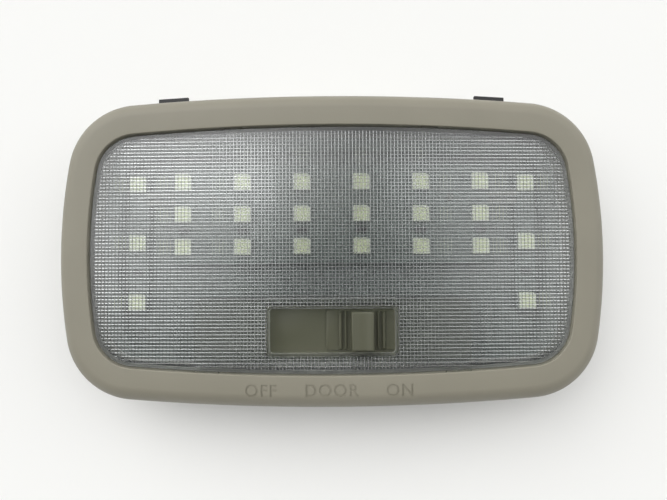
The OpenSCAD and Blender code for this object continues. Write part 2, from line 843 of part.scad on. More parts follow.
// Switch frame: ledges carry the slider's plate and keepers stop it lifting
module switch_frame() {
    inside_l = frame_in_l;
    ledge_top = plate_z - slide_gap;
    keeper_z = plate_top + slide_gap;
    keeper_x = inside_l - keeper_l;
    color(BEIGE) translate([0, switch_y, 0]) {
        difference() {
            translate([0, 0, deck_z]) linear_extrude(frame_h) rounded(2 * frame_l, 2 * frame_w, 1);
            block([-inside_l, -frame_in_w, ledge_top], [inside_l, frame_in_w, step_top + over]);
            block([-inside_l, -frame_in_w + ledge_w, deck_z - over],
                  [inside_l, frame_in_w - ledge_w, step_top]);
            block([-inside_l, -frame_in_w, deck_z - over],
                  [inside_l, frame_in_w, ledge_top - ledge_t]);
            for (x = [lamp_riser_x, 0, rest_x])
                block([x - bar_w / 2 - 0.3, frame_in_w - over, deck_z - over],
                      [x + bar_w / 2 + 0.3, riser_y - switch_y + fit, deck_z + bar_t + 0.2]);
        }
        for (x = [-keeper_x - keeper_l, keeper_x], y = [-frame_in_w, frame_in_w - keeper_w])
            block([x, y, keeper_z], [x + keeper_l, y + keeper_w, step_top]);
        for (x = [-1, 1])
            translate([x * (frame_l - frame_end_t / 2), 0, deck_z - flange_t])
                cylinder(d = peg_d, h = flange_t + eps);
    }
}

// A rib or bar with a softly rounded top, centred on x = 0 and standing on z = 0
function bar_profile(w, h) =
    [for (a = [0 : 10 : 180])
        [w / 2 * sign(cos(a)) * pow(abs(cos(a)), 0.45), h * pow(sin(a), 0.6)]];

module knob_bar(x, w, h) {
    translate([x, 0, step_top - eps]) along_y(knob_h) polygon(bar_profile(w, h + eps));
}

module switch_slider() {
    grip_h = lens_z + grip_proud - step_top;
    inner_rib_x = (rib_x + grip_w / 2) / 2;
    color(BEIGE) translate([rest_x, switch_y, 0]) {
        difference() {
            block([-plate_l / 2, -plate_w / 2, plate_z], [plate_l / 2, plate_w / 2, plate_top]);
            for (x = [-rest_x, 0, rest_x])
                translate([detent_x + x, 0, plate_z]) along_y(2 * lane_y)
                    polygon([[-notch_w / 2, -over], [-notch_w / 2, 0], [0, notch_t],
                             [notch_w / 2, 0], [notch_w / 2, -over]]);
        }
        block([-step_w / 2, -knob_h / 2 - 0.4, plate_top - eps],
              [step_w / 2, knob_h / 2 + 0.4, step_top]);
        for (x = [-rib_x, rib_x]) knob_bar(x, rib_w, rib_h);
        for (x = [-inner_rib_x, inner_rib_x]) knob_bar(x, rib_w * 0.7, rib_h * 0.6);
        knob_bar(0, grip_w, grip_h);
        for (y = [-1, 1]) translate([0, y * 1.5, plate_z - contact_t - 0.3])
            cylinder(d = 1.2, h = contact_t + 0.3 + eps);
    }
}

// Wiper: a bronze bridge under the slider that joins the two contact lanes
module slider_contact() {
    top = plate_z;
    foot = deck_z + bar_t + contact_gap;
    t = contact_t;
    y1 = lane_y - 0.8;
    y2 = lane_y + 0.8;
    half = [[y2 + 0.4, top], [y2 + 0.4, top - t], [y2, foot + 0.6],
            [lane_y, foot], [y1, foot + 0.6], [y1 + 0.4, foot + 0.9],
            [lane_y, foot + t], [y2 - 0.45, foot + 0.9], [y2 - 0.2, top - t]];
    other = [for (i = [len(half) - 1 : -1 : 0]) [-half[i][0], half[i][1]]];
    color(BRASS) translate([rest_x, switch_y, 0]) difference() {
        along_x(contact_w) polygon(concat(half, other));
        for (y = [-1, 1]) translate([0, y * 1.5, top - t - over])
            cylinder(d = 1.4, h = t + 2 * over);
    }
}

// Detent spring: a leaf staked to the deck, with its bump under the slider's notches
module detent_spring() {
    bump = plate_z - contact_gap;
    low = deck_z;
    foot_x = spring_stake_x - leaf_end;
    end_x = spring_stake_x + leaf_end;
    nose_x = detent_x - leaf_nose;
    color(STEEL) difference() {
        translate([0, switch_y, 0]) along_y(leaf_w) polygon([
            [end_x, low], [end_x, low + contact_t], [foot_x, low + contact_t],
            [detent_x + leaf_nose, bump - leaf_rise + leaf_t], [detent_x, bump],
            [nose_x, bump - leaf_rise], [nose_x, bump - leaf_rise - leaf_t],
            [detent_x, bump - leaf_t], [detent_x + leaf_nose, bump - leaf_rise - leaf_t],
            [foot_x, low]]);
        translate([spring_stake_x, switch_y, low - over])
            cylinder(d = stake_d + 0.2, h = contact_t + 2 * over);
    }
}

// Bus bars lie on the back of the floor. A blade reaches into the connector shell
module blade(y) {
    block([bend_x, y - blade_w / 2, blade_z],
          [back_wall_x + socket_t + blade_l, y + blade_w / 2, blade_z + bar_t]);
    block([bend_x - bar_t, y - blade_w / 2, blade_z], [bend_x, y + blade_w / 2, guard_h]);
}

module back_strip(a, b) {
    w = bar_w / 2;
    block([min(a[0], b[0]) - w, min(a[1], b[1]) - w, guard_h - bar_t],
          [max(a[0], b[0]) + w, max(a[1], b[1]) + w, guard_h]);
}

module blade_strip(y, x) {
    block([x - bar_w / 2, y - bar_w / 2, guard_h - bar_t], [bend_x, y + bar_w / 2, guard_h]);
}

// A bar turns up through the deck at x and its tab lies on the deck as far as y
module riser(x, y, from_y) {
    w = bar_w / 2;
    block([x - w, riser_y - bar_t, guard_h - bar_t], [x + w, from_y, guard_h]);
    block([x - w, riser_y - bar_t, guard_h - bar_t], [x + w, riser_y, deck_z + bar_t]);
    block([x - w, y, deck_z], [x + w, riser_y, deck_z + bar_t]);
}

module bus(stakes) {
    color(BRASS) difference() {
        union() children();
        for (p = stakes) stake_hole(p[0], p[1], guard_h - bar_t);
    }
}

module lane_pad(x) {
    y = switch_y + lane_y;
    block([x - pad_half_x, y - 2, deck_z], [x + pad_half_x, y + 2, deck_z + bar_t]);
}

module bus_supply() {
    bus(supply_stakes) {
        blade(supply_y);
        blade_strip(supply_y, feed_x);
        back_strip([feed_x, supply_y], [feed_x, feed_y]);
    }
}

module bus_door() {
    bus(door_stakes) {
        blade(door_y);
        blade_strip(door_y, door_x);
        back_strip([door_x, door_y], [door_x, door_turn_y]);
        back_strip([door_x, door_turn_y], [0, door_turn_y]);
        riser(0, switch_y + lane_y, door_turn_y);
        lane_pad(0);
    }
}

module bus_ground() {
    bus(ground_stakes) {
        blade(ground_y);
        blade_strip(ground_y, ground_x);
        back_strip([ground_x, ground_y], [ground_x, ground_turn_y]);
        back_strip([ground_x, ground_turn_y], [rest_x, ground_turn_y]);
        riser(rest_x, switch_y + lane_y, ground_turn_y);
        lane_pad(rest_x);
    }
}

module bus_lamp() {
    y = switch_y - lane_y;
    bus(lamp_stakes) {
        riser(lamp_riser_x, y, feed_y);
        back_strip([lamp_riser_x, feed_y], [-feed_x, feed_y]);
        block([lamp_riser_x - bar_w / 2, y - 2, deck_z],
              [rest_x + pad_half_x, y + 2, deck_z + bar_t]);
    }
}

// Upper tongues hook behind the headliner's edge
module tongue(side) {
    top = deck_z - flange_t;
    t = tongue_t;
    color(BLACK) on_long_edge(inset(opening, body_out), side * tongue_x, 1) difference() {
        along_x(tongue_w) polygon([
            [0, 1.6], [t, 1.6], [t, top - t - 0.8], [t + 0.8, top - t],
            [tongue_l - 2, top - t], [tongue_l, top - t - 0.6], [tongue_l, top - 0.6],
            [tongue_l - 2, top], [0, top]]);
        translate([0, t + over, screw_z]) rotate([90, 0, 0])
            cylinder(d = screw_d + 0.4, h = t + 2 * over);
    }
}

// Lower springs bulge outwards and snap past the opposite edge
module spring_clip(side) {
    top = deck_z - flange_t - 0.3;
    t = spring_t;
    out = spring_out;
    color(STEEL) on_long_edge(inset(opening, body_out), side * spring_x, -1) difference() {
        along_x(spring_w) polygon([
            [0, 1.6], [t, 1.6], [t, top - 1.4], [t + 0.3, top - t], [1.2, top - t],
            [out - t, top - 4.4], [1.6 - t, top - 7.6], [1.6, top - 7.6 - t / 2],
            [out, top - 4.4], [1.5, top], [0, top]]);
        translate([0, t + over, screw_z]) rotate([90, 0, 0])
            cylinder(d = screw_d + 0.4, h = t + 2 * over);
    }
}

module bracket_screw(t) {
    translate([0, 0, screw_z]) rotate([90, 0, 0]) {
        translate([0, 0, -t - screw_head_t]) difference() {
            cylinder(d = screw_head_d, h = screw_head_t);
            for (turn = [0, 90]) rotate([0, 0, turn])
                block([-screw_d / 2, -drive_w / 2, -over], [screw_d / 2, drive_w / 2, drive_t]);
        }
        translate([0, 0, -t - eps]) cylinder(d = screw_d, h = 0.8 * screw_l + t);
    }
}

module bracket_screws() {
    body = inset(opening, body_out);
    color(STEEL) {
        for (x = [-tongue_x, tongue_x]) on_long_edge(body, x, 1) bracket_screw(tongue_t);
        for (x = [-spring_x, spring_x]) on_long_edge(body, x, -1) bracket_screw(spring_t);
    }
}

bezel();
base();
lens();
reflector_tray();
main_board();
strip(-1);  // strip_left
strip(1);  // strip_right
foam_pads();
board_resistors();
link_strips();
feed_pins();
switch_frame();
switch_slider();
slider_contact();
detent_spring();
bus_supply();
bus_door();
bus_ground();
bus_lamp();
tongue(-1);  // tongue_left
tongue(1);  // tongue_right
spring_clip(-1);  // spring_clip_left
spring_clip(1);  // spring_clip_right
bracket_screws();
for (i = [0 : LED_COUNT - 1])
    led(i);
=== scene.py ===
import math
import bmesh
import bpy
from mathutils import Matrix, Vector
from mathutils.bvhtree import BVHTree

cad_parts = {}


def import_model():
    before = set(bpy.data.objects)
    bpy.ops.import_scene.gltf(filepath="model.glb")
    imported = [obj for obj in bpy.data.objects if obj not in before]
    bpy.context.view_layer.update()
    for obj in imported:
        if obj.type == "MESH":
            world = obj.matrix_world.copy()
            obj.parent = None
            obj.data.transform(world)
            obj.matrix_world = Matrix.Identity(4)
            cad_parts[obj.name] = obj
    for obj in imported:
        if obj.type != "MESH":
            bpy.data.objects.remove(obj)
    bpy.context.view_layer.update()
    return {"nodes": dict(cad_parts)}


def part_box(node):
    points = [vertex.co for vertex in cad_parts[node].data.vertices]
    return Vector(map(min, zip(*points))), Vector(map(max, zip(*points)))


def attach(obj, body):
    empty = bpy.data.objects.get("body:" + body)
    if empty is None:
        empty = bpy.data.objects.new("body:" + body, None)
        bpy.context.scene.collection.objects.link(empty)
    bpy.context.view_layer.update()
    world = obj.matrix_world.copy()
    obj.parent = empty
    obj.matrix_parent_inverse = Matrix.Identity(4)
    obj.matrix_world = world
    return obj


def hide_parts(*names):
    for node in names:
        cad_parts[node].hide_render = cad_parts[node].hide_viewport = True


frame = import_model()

# Lengths are in millimetres until a mesh is made, then in metres like the frame
MM = 0.001

# Sizes shared with the part: outlines, crown, walls, lens, tabs, window and knob
SIDE_R, LONG_R, CORNER_R, OPENING_R = 160, 770, 22, 12.5
BAND_SIDE, BAND_LONG = 10.2, 10.6
CROWN_R = 1600
SKIN, WELL_T, WELL_DROP, FLANGE_T = 2.2, 2.0, 2.8, 1.8
EDGE_DRAFT = 0.5
SHOULDER_Z, SHOULDER_W = 2.2, 5.0
LENS_GAP, LENS_T, LENS_EDGE_R = 0.4, 1.6, 0.5
PRISM_PITCH = 1.04
WINDOW_W, WINDOW_H, WINDOW_R = 37.6, 13.5, 1.2
TAB_X, TAB_W, LOW_TAB_X, LOW_TAB_W = 29.2, 4.7, 36.9, 7.1
TAB_T, TAB_REACH = 1.2, 1.0
PLATE_T, STEP_T, STEP_W = 1.0, 0.7, 21.7
KNOB_H, GRIP_W, RIB_X, RIB_W, RIB_H = 11.3, 6.6, 6.5, 0.9, 1.3

# Sizes finer than the part's: lip, lens skirt, window wall and the prisms' flat tops
LIP_R, LENS_SKIRT, WINDOW_T = 0.3, 1.0, 0.7
PRISM_FLAT = 0.82
PRISM_H = PRISM_PITCH * (1 - PRISM_FLAT) / 2

# How far a cutting tool runs past what it cuts
OVER = 1

# A square's corners, in turn
CORNERS = ((-1, -1), (1, -1), (1, 1), (-1, 1))

# Steps along the curves, and the angles in degrees above which an edge stays sharp
SIDE_STEPS, CORNER_STEPS, LONG_STEPS = 20, 36, 28
SHOULDER_STEPS, LIP_STEPS, LENS_EDGE_STEPS, TURN_STEPS = 16, 8, 6, 8
SHARP, SHELL_SHARP, LENS_SHARP = 30, 24, 8


def span(node):
    """A node's lowest and highest corners."""
    lo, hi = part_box(node)
    return Vector(lo) / MM, Vector(hi) / MM


# Sizes taken from the frame
BEZEL_HI = span("bezel")[1]
LENS_LO, LENS_HI = span("lens")
FRAME_LO, FRAME_HI = span("switch_frame")
SLIDER_LO, SLIDER_HI = span("switch_slider")
SEAT_Z = span("tongue_left")[1].z + FLANGE_T + WELL_DROP
TOP_Z = BEZEL_HI.z
DECK_Z = LENS_LO.z
LENS_Z = LENS_HI.z
PANE_Z = LENS_Z - LENS_T
STEP_TOP = FRAME_HI.z
PLATE_TOP = STEP_TOP - STEP_T
REST_X = (SLIDER_LO.x + SLIDER_HI.x) / 2
SWITCH_Y = (SLIDER_LO.y + SLIDER_HI.y) / 2

# An outline is its half-width, half-height and the radii of its side, long and corner arcs
OUTER = (BEZEL_HI.x, BEZEL_HI.y, SIDE_R, LONG_R, CORNER_R)
OPENING = (BEZEL_HI.x - BAND_SIDE, BEZEL_HI.y - BAND_LONG,
           SIDE_R - BAND_SIDE, LONG_R - BAND_LONG, OPENING_R)


def inset(o, d):
    return tuple(v - d for v in o)


def mix(p, q, t):
    return p + (q - p) * t


def mix_outline(o, p, t):
    return tuple(mix(a, b, t) for a, b in zip(o, p))


def crown(x):
    """How far a crowned face has fallen at x."""
    return x * x / (2 * CROWN_R)


def arc(c, r, a, b, n):
    angles = [mix(a, b, i / n) for i in range(n)]
    return [(c[0] + r * math.cos(t), c[1] + r * math.sin(t)) for t in angles]


def quarter(o):
    """Three tangent arcs, from the right end round to the top."""
    w, h, side_r, long_r, corner_r = o
    side_c = Vector((w - side_r, 0))
    long_c = Vector((0, h - long_r))
    gap = long_c - side_c
    d = gap.length
    u = gap / d
    r1 = side_r - corner_r
    r2 = long_r - corner_r
    m = (d * d + r1 * r1 - r2 * r2) / (2 * d)
    c = side_c + m * u + math.sqrt(r1 * r1 - m * m) * Vector((-u.y, u.x))
    a1 = math.atan2(c.y, c.x - side_c.x)
    a2 = math.atan2(c.y - long_c.y, c.x)
    return (arc(side_c, side_r, 0, a1, SIDE_STEPS) + arc(c, corner_r, a1, a2, CORNER_STEPS)
            + arc(long_c, long_r, a2, math.pi / 2, LONG_STEPS) + [(0, h)])


def outline(o):
    q = quarter(o)
    n = len(q) - 1
    return (q[:n] + [(-x, y) for x, y in q[n:0:-1]]
            + [(-x, -y) for x, y in q[:n]] + [(x, -y) for x, y in q[n:0:-1]])


def flat_ring(o, z):
    return [(x, y, z) for x, y in outline(o)]


def crown_ring(o, share, lower):
    """A ring at a share of the bezel's height over its seat, then lowered."""
    rise = TOP_Z - SEAT_Z
    return [(x, y, SEAT_Z + share * (rise - crown(x)) - lower) for x, y in outline(o)]


def lens_ring(o, lower):
    return [(x, y, LENS_Z - crown(x) - lower) for x, y in outline(o)]


# Mesh helpers
def put(name, data):
    """A new object that stands in the scene."""
    obj = bpy.data.objects.new(name, data)
    bpy.context.collection.objects.link(obj)
    return obj


def tidy(me, sharp):
    bm = bmesh.new()
    bm.from_mesh(me)
    bmesh.ops.recalc_face_normals(bm, faces=bm.faces)
    bm.to_mesh(me)
    bm.free()
    me.polygons.foreach_set("use_smooth", [True] * len(me.polygons))
    me.set_sharp_from_angle(angle=math.radians(sharp))
    me.update()


def mesh_object(name, verts, faces):
    me = bpy.data.meshes.new(name)
    me.from_pydata([[c * MM for c in v] for v in verts], [], faces)
    tidy(me, SHARP)
    return put(name, me)


def ring_loft(name, rings):
    """A ring-shaped solid whose section is the loop of rings."""
    n, m = len(rings[0]), len(rings)
    faces = [(j * n + i, j * n + (i + 1) % n, (j + 1) % m * n + (i + 1) % n, (j + 1) % m * n + i)
             for j in range(m) for i in range(n)]
    return mesh_object(name, [v for r in rings for v in r], faces)


def side_faces(n, m):
    """The faces between m rings of n points each."""
    return [(j * n + i, j * n + (i + 1) % n, (j + 1) * n + (i + 1) % n, (j + 1) * n + i)
            for j in range(m - 1) for i in range(n)]


def stack_loft(name, rings):
    """A solid stacked from rings, whose ends are crossed by strips along Y."""
    n, m = len(rings[0]), len(rings)
    faces = side_faces(n, m)
    for at in (0, (m - 1) * n):
        for i in range(n // 2):
            strip = [i, i + 1, (n - i - 1) % n, (n - i) % n]
            faces.append([at + k for k in dict.fromkeys(strip)])
    return mesh_object(name, [v for r in rings for v in r], faces)


def applied(obj):
    """The object with its modifiers baked into its mesh."""
    graph = bpy.context.evaluated_depsgraph_get()
    me = bpy.data.meshes.new_from_object(obj.evaluated_get(graph))
    old = obj.data
    obj.modifiers.clear()
    obj.data = me
    bpy.data.meshes.remove(old)
    return obj


def drop(obj):
    data = obj.data
    bpy.data.objects.remove(obj)
    bpy.data.meshes.remove(data)


def combine(obj, tool, operation):
    """obj cut by, joined to or kept within the tool, which is used up."""
    mod = obj.modifiers.new("combine", "BOOLEAN")
    mod.object = tool
    mod.operation = operation
    mod.solver = "MANIFOLD"
    applied(obj)
    drop(tool)
    return obj


def bevel(obj, width, segments):
    mod = obj.modifiers.new("bevel", "BEVEL")
    mod.width = width * MM
    mod.segments = segments
    mod.limit_method = "ANGLE"
    mod.angle_limit = math.radians(SHARP)
    return applied(obj)


def placed(obj, place):
    obj.data.transform(place)
    return obj


def quarter_turn(x, y, r, start, steps):
    """A quarter circle round (x, y), from an angle in degrees."""
    angles = [math.radians(start + 90 * i / steps) for i in range(steps + 1)]
    return [(x + r * math.cos(a), y + r * math.sin(a)) for a in angles]


def rounded_outline(w, h, r):
    x, y = w / 2 - r, h / 2 - r
    corners = [(x, y, 0), (-x, y, 90), (-x, -y, 180), (x, -y, 270)]
    return [p for cx, cy, start in corners for p in quarter_turn(cx, cy, r, start, TURN_STEPS)]


def prism(name, points, z0, z1, at=(0, 0)):
    """A flat outline pushed up from z0 to z1."""
    n = len(points)
    verts = [(x + at[0], y + at[1], z) for z in (z0, z1) for x, y in points]
    faces = [tuple(range(n)), tuple(range(n, 2 * n))]
    faces += [(i, (i + 1) % n, n + (i + 1) % n, n + i) for i in range(n)]
    return mesh_object(name, verts, faces)


def block(name, lo, hi):
    (x0, y0, z0), (x1, y1, z1) = lo, hi
    return prism(name, [(x0, y0), (x1, y0), (x1, y1), (x0, y1)], z0, z1)


def disc(name, r, z0, z1, steps=40):
    angles = [2 * math.pi * i / steps for i in range(steps)]
    return prism(name, [(r * math.cos(a), r * math.sin(a)) for a in angles], z0, z1)


# Materials
CLEAR_IOR = 1.585
SHADOW_TINT = (0.88, 0.9, 0.9)
GRAIN_DETAIL, DRIFT_DETAIL = 3, 4
DRIFT_BREADTH = 40
DRIFT_ENDS = (0.3, 0.7)


def material(name, colour, roughness, **sockets):
    mat = bpy.data.materials.new(name)
    mat.use_nodes = True
    shader = mat.node_tree.nodes["Principled BSDF"]
    shader.inputs["Base Color"].default_value = (*colour, 1)
    shader.inputs["Roughness"].default_value = roughness
    for key, value in sockets.items():
        shader.inputs[key.replace("_", " ")].default_value = value
    mat.diffuse_color = (*colour, 1)
    return mat


def grained(name, colour, roughness, scale, bump, height, drift, seed,
            metal=0.0, stretch=(1, 1, 1)):
    """A material with a fine grain as bump and a slow drift of its colour. height is in metres."""
    mat = material(name, colour, roughness, Metallic=metal)
    tree = mat.node_tree
    shader = tree.nodes["Principled BSDF"]
    coord = tree.nodes.new("ShaderNodeTexCoord")
    place = tree.nodes.new("ShaderNodeMapping")
    place.inputs["Scale"].default_value = stretch
    place.inputs["Location"].default_value = (seed, seed, seed)
    tree.links.new(coord.outputs["Object"], place.inputs["Vector"])

    fine = tree.nodes.new("ShaderNodeTexNoise")
    fine.inputs["Scale"].default_value = scale
    fine.inputs["Detail"].default_value = GRAIN_DETAIL
    relief = tree.nodes.new("ShaderNodeBump")
    relief.inputs["Strength"].default_value = bump
    relief.inputs["Distance"].default_value = height
    tree.links.new(place.outputs["Vector"], fine.inputs["Vector"])
    tree.links.new(fine.outputs["Fac"], relief.inputs["Height"])
    tree.links.new(relief.outputs["Normal"], shader.inputs["Normal"])

    broad = tree.nodes.new("ShaderNodeTexNoise")
    broad.inputs["Scale"].default_value = scale / DRIFT_BREADTH
    broad.inputs["Detail"].default_value = DRIFT_DETAIL
    ramp = tree.nodes.new("ShaderNodeValToRGB")
    base = shader.inputs["Base Color"].default_value[:3]
    gains = (1 - drift, 1 + drift)
    for element, position, gain in zip(ramp.color_ramp.elements, DRIFT_ENDS, gains):
        element.position = position
        element.color = (*[c * gain for c in base], 1)
    tree.links.new(place.outputs["Vector"], broad.inputs["Vector"])
    tree.links.new(broad.outputs["Fac"], ramp.inputs["Fac"])
    tree.links.new(ramp.outputs["Color"], shader.inputs["Base Color"])
    return mat


def lamp_glass(name, colour, roughness):
    """Clear moulding that lets light through to what it covers."""
    mat = material(name, colour, roughness, Transmission_Weight=1.0, IOR=CLEAR_IOR)
    tree = mat.node_tree
    clear = tree.nodes.new("ShaderNodeBsdfTransparent")
    clear.inputs["Color"].default_value = (*SHADOW_TINT, 1)
    path = tree.nodes.new("ShaderNodeLightPath")
    both = tree.nodes.new("ShaderNodeMixShader")
    tree.links.new(path.outputs["Is Shadow Ray"], both.inputs["Fac"])
    tree.links.new(tree.nodes["Principled BSDF"].outputs["BSDF"], both.inputs[1])
    tree.links.new(clear.outputs["BSDF"], both.inputs[2])
    tree.links.new(both.outputs["Shader"], tree.nodes["Material Output"].inputs["Surface"])
    return mat


# Each one's name, colour and roughness, then its grain's scale, bump and height, its drift and seed
BEIGE = grained("beige_plastic", (0.245, 0.23, 0.179), 0.5, 2600, 0.12, 0.0002, 0.03, 0)
# painted shade: the knob is the bezel's beige, darkened for the shade of the recessed switch window
# and a painted darker reflection there
SHADED_KNOB = grained("knob_beige_painted_shade", (0.088, 0.09, 0.057), 0.42, 2600, 0.1, 0.0002, 0.05, 3)
WHITE = grained("white_plastic", (0.62, 0.61, 0.57), 0.45, 1800, 0.1, 0.0002, 0.02, 5)
# painted shade: the switch frame and its covers are painted near black so the channel round the
# knob reads as the window's shade
SHADED_HOUSING = grained("housing_painted_shade", (0.075, 0.082, 0.066), 0.45, 2600, 0.1, 0.0002, 0.04, 29)
# painted shade: the reflector tray is darkened for the dim light under the lens
SHADED_TRAY = grained("tray_painted_shade", (0.11, 0.125, 0.115), 0.4, 1500, 0.1, 0.0002, 0.03, 7)
# painted shade: the white boards are painted dark grey for the dim light under the lens
SHADED_BOARD = grained("board_white", (0.1, 0.12, 0.108), 0.4, 900, 0.1, 0.0001, 0.04, 9)
CLEAR = lamp_glass("lens_clear", (0.95, 0.97, 0.97), 0.04)
FROSTED = lamp_glass("lens_frosted", (0.62, 0.62, 0.55), 0.4)
SATIN = lamp_glass("lens_satin", (0.95, 0.97, 0.97), 0.12)
BLACK = grained("black_paint", (0.012, 0.012, 0.012), 0.6, 2500, 0.15, 0.0002, 0.1, 11)
BRASS = grained("brass_strip", (0.62, 0.45, 0.19), 0.3, 1500, 0.1, 0.0001, 0.08, 13, 1.0,
                (1, 0.1, 1))
STEEL = grained("zinc_steel", (0.55, 0.55, 0.56), 0.35, 1500, 0.1, 0.0001, 0.08, 15, 1.0)
TIN = grained("tin_plate", (0.68, 0.68, 0.66), 0.3, 1500, 0.1, 0.0001, 0.06, 17, 1.0)
DULL_TIN = grained("dull_tin", (0.22, 0.22, 0.2), 0.6, 1500, 0.1, 0.0001, 0.06, 27, 1.0)
FOAM = grained("foam", (0.6, 0.6, 0.57), 0.9, 900, 0.6, 0.0004, 0.06, 19)
CHIP = grained("chip_black", (0.03, 0.03, 0.03), 0.45, 2500, 0.1, 0.0001, 0.1, 21)
LED_BODY = grained("led_white", (0.6, 0.63, 0.48), 0.4, 2500, 0.05, 0.0001, 0.02, 23)
PHOSPHOR = grained("led_phosphor", (0.64, 0.68, 0.44), 0.25, 2500, 0.05, 0.0001, 0.05, 25)

NODE_FINISH = {
    "base": WHITE, "reflector_tray": SHADED_TRAY, "main_board": SHADED_BOARD, "strip_left": SHADED_BOARD,
    "strip_right": SHADED_BOARD, "foam_pads": FOAM, "board_resistors": CHIP, "link_strips": DULL_TIN,
    "feed_pins": DULL_TIN, "switch_frame": SHADED_HOUSING, "slider_contact": BRASS, "detent_spring": STEEL,
    "bus_supply": BRASS, "bus_door": BRASS, "bus_ground": BRASS, "bus_lamp": BRASS,
    "tongue_left": BLACK, "tongue_right": BLACK, "spring_clip_left": STEEL,
    "spring_clip_right": STEEL, "bracket_screws": STEEL,
}


def paint(obj, mat):
    obj.data.materials.clear()
    obj.data.materials.append(mat)


def finish(obj, mat, body, slot, *nodes):
    """Gives a piece its material and its body, and lets it stand for its nodes. The slot is not
    used.
    """
    paint(obj, mat)
    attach(obj, body)
    if nodes:
        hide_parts(*nodes)


# Snap tabs of the lens, and the slots for them in the bezel
SLOT_PLAY_X, SLOT_PLAY_Z = 0.4, 0.3


def edge_place(o, x, sign):
    """Where a feature sits on a long edge, and how it turns with it. Local +Y is outwards."""
    half_h, long_r = o[1], o[3]
    y = half_h - long_r + math.sqrt(long_r * long_r - x * x)
    turn = math.asin(x / long_r)
    flip = 0 if sign > 0 else math.pi
    return (Matrix.Rotation(flip, 4, "Z") @ Matrix.Translation(Vector((sign * x, y, 0)) * MM)
            @ Matrix.Rotation(-turn * sign, 4, "Z"))


def tab_places(o):
    """Each snap tab's place, its width and its distance from the middle."""
    return ([(edge_place(o, x, 1), TAB_W, x) for x in (-TAB_X, TAB_X)]
            + [(edge_place(o, x, -1), LOW_TAB_W, x) for x in (-LOW_TAB_X, LOW_TAB_X)])


def tab_z(x):
    return LENS_Z - crown(x) - LENS_EDGE_R - TAB_T


# Bezel
FOOT_BEVEL = 0.3
WORDS = (("OFF", -20.8), ("DOOR", -0.3), ("ON", 19.5))
WORD_Y, WORD_CAP, WORD_DEPTH = -41.1, 3.4, 0.26
# A capital's share of the font's size, the letters' spacing and how much their strokes swell
CAP_SHARE, LETTER_SPACE, WORD_SPREAD = 0.7, 1.15, 0.04
# How far the cutter stands above the face, and how near its points are welded
WORD_PROUD, WELD = 0.5, 0.001


def shoulder_rings(start, end, reach, lower):
    """The rolled shoulder's rings, from its foot up to its crest."""
    foot = SHOULDER_Z / (TOP_Z - SEAT_Z)
    rings = []
    for i in range(SHOULDER_STEPS + 1):
        a = math.radians(90 * i / SHOULDER_STEPS)
        o = mix_outline(start, end, reach * (1 - math.cos(a)))
        rings.append(crown_ring(o, mix(foot, 1, math.sin(a)), lower * math.sin(a)))
    return rings


def lip_rings():
    """The rounded lip round the opening."""
    lip = inset(OPENING, -LIP_R)
    rings = []
    for i in range(LIP_STEPS + 1):
        a = math.radians(90 * i / LIP_STEPS)
        rings.append(crown_ring(inset(lip, LIP_R * math.sin(a)), 1, LIP_R * (1 - math.cos(a))))
    return rings


def bezel():
    """A hollow ring: its foot, shoulder and lip, its inner wall, and the same shoulder inside."""
    edge = inset(OUTER, EDGE_DRAFT)
    well = inset(OPENING, -WELL_T)
    inner = inset(OUTER, SKIN)
    reach = SHOULDER_W / BAND_SIDE
    inner_reach = (SHOULDER_W - SKIN) / (BAND_SIDE - SKIN - WELL_T)
    rings = [flat_ring(inset(OUTER, FOOT_BEVEL), SEAT_Z), flat_ring(OUTER, SEAT_Z + FOOT_BEVEL)]
    rings += shoulder_rings(edge, OPENING, reach, 0) + lip_rings()
    rings += [flat_ring(OPENING, DECK_Z), flat_ring(well, DECK_Z), crown_ring(well, 1, SKIN)]
    rings += shoulder_rings(inner, well, inner_reach, SKIN)[::-1]
    rings.append(flat_ring(inner, SEAT_Z))
    obj = ring_loft("bezel_shell", rings)
    for place, width, x in tab_places(OPENING):
        half = width / 2 + SLOT_PLAY_X
        low = tab_z(x) - SLOT_PLAY_Z
        high = low + TAB_T + 2 * SLOT_PLAY_Z
        slot = block("slot", (-half, -OVER, low), (half, WELL_T + OVER, high))
        obj = combine(obj, placed(slot, place), "DIFFERENCE")
    for word, x in WORDS:
        obj = combine(obj, word_cutter(word, x, obj), "DIFFERENCE")
    tidy(obj.data, SHELL_SHARP)
    finish(obj, BEIGE, "lamp", "bezel_beige", "bezel")


def surface_of(obj):
    """A function that gives the height of an object's upper surface at a place."""
    me = obj.data
    tree = BVHTree.FromPolygons([v.co for v in me.vertices], [p.vertices[:] for p in me.polygons])

    def height(x, y):
        hit = tree.ray_cast(Vector((x, y, 1)), Vector((0, 0, -1)))
        return hit[0].z
    return height


def word_cutter(word, x, shell):
    """A word that follows the shell's curved face and reaches one depth below it."""
    font = bpy.data.curves.new("word", "FONT")
    font.body = word
    font.size = WORD_CAP / CAP_SHARE * MM
    font.align_x = "CENTER"
    font.align_y = "CENTER"
    font.space_character = LETTER_SPACE
    font.offset = WORD_SPREAD * MM
    font.extrude = (WORD_DEPTH + WORD_PROUD) / 2 * MM
    text = put("word", font)
    graph = bpy.context.evaluated_depsgraph_get()
    me = bpy.data.meshes.new_from_object(text.evaluated_get(graph))
    bpy.data.objects.remove(text)
    surface = surface_of(shell)
    middle = (WORD_PROUD - WORD_DEPTH) / 2 * MM
    for v in me.vertices:
        px, py = v.co.x + x * MM, v.co.y + WORD_Y * MM
        v.co = Vector((px, py, surface(px, py) + middle + v.co.z))
    bm = bmesh.new()
    bm.from_mesh(me)
    bmesh.ops.remove_doubles(bm, verts=bm.verts, dist=WELD * MM)
    bmesh.ops.triangulate(bm, faces=bm.faces)
    bmesh.ops.recalc_face_normals(bm, faces=bm.faces)
    bm.to_mesh(me)
    bm.free()
    return put("word", me)


# Lens
# How far below the lens its hollow starts
HOLLOW_OVER = 0.5
